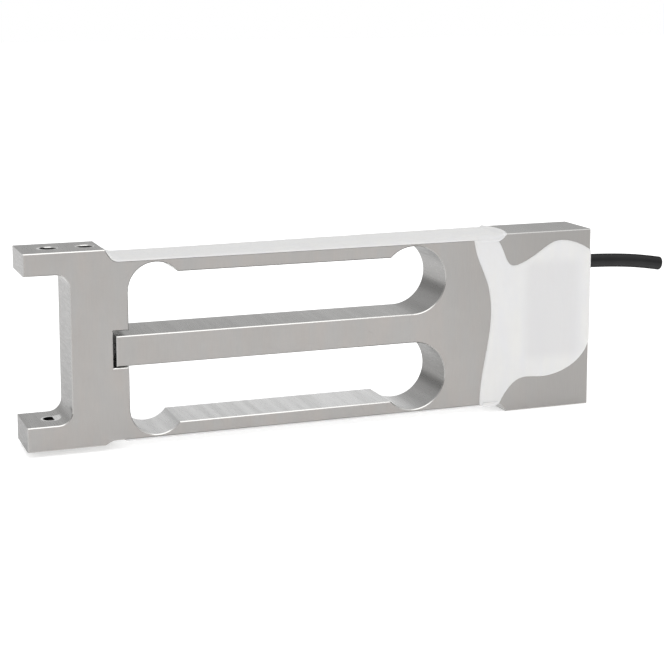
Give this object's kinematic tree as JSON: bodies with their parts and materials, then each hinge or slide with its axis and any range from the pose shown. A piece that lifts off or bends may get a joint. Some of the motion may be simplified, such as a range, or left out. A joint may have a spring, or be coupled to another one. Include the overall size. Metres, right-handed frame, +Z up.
{
  "type": "single point load cell",
  "caption": "Single point load cell: slotted aluminium binocular beam with an overload tongue, forked live end, white silicone over the gauges and wiring pocket, short black cable.",
  "frame": {"origin": "bottom centre of the spring body, on the plane of the fixed foot that stands on the scale base", "axes": "+X from the forked live end to the fixed end with the cable, -Y out of the face with the wiring pocket, +Z up, against the load"},
  "size_m": [0.2404, 0.0205, 0.0672],
  "materials": {
    "aluminium_body": "fine milled satin, clear anodised",
    "white_silicone": "satin, brushed on by hand",
    "black_jacket": "satin PVC",
    "braid": "tinned copper braid",
    "red_insulation": "satin",
    "black_insulation": "satin",
    "green_insulation": "satin",
    "white_insulation": "satin",
    "copper": "bare copper strands",
    "polyimide_film": "clear amber film",
    "gauge_foil": "etched constantan foil",
    "solder_tab": "tinned copper tab",
    "ribbon_film": "flexible printed circuit",
    "board_laminate": "glass epoxy with solder mask",
    "board_copper": "tinned copper pads",
    "resistor_ceramic": "glazed chip with tinned caps",
    "foam": "closed-cell foam pad",
    "black_rubber": "moulded sleeve"
  },
  "bodies": {
    "root": {"spring_body": "aluminium_body", "gauge_carrier_top_live": "polyimide_film", "gauge_grid_top_live": "gauge_foil", "gauge_terminal_top_live": "solder_tab", "gauge_carrier_top_base": "polyimide_film", "gauge_grid_top_base": "gauge_foil", "gauge_terminal_top_base": "solder_tab", "gauge_carrier_bottom_live": "polyimide_film", "gauge_grid_bottom_live": "gauge_foil", "gauge_terminal_bottom_live": "solder_tab", "gauge_carrier_bottom_base": "polyimide_film", "gauge_grid_bottom_base": "gauge_foil", "gauge_terminal_bottom_base": "solder_tab", "top_ribbon": "ribbon_film", "bottom_ribbon": "ribbon_film", "board_foam": "foam", "trim_board": "board_laminate", "board_pads": "board_copper", "span_resistor_a": "resistor_ceramic", "span_resistor_b": "resistor_ceramic", "zero_resistor": "resistor_ceramic", "balance_resistor": "resistor_ceramic", "cable_jacket": "black_jacket", "cable_screen": "braid", "core_red": "red_insulation", "conductor_red": "copper", "core_black": "black_insulation", "conductor_black": "copper", "core_green": "green_insulation", "conductor_green": "copper", "core_white": "white_insulation", "conductor_white": "copper", "cable_seal": "black_rubber", "top_coating": "white_silicone", "bottom_coating": "white_silicone", "side_coating": "white_silicone", "pocket_filler": "white_silicone"}
  },
  "joints": []
}
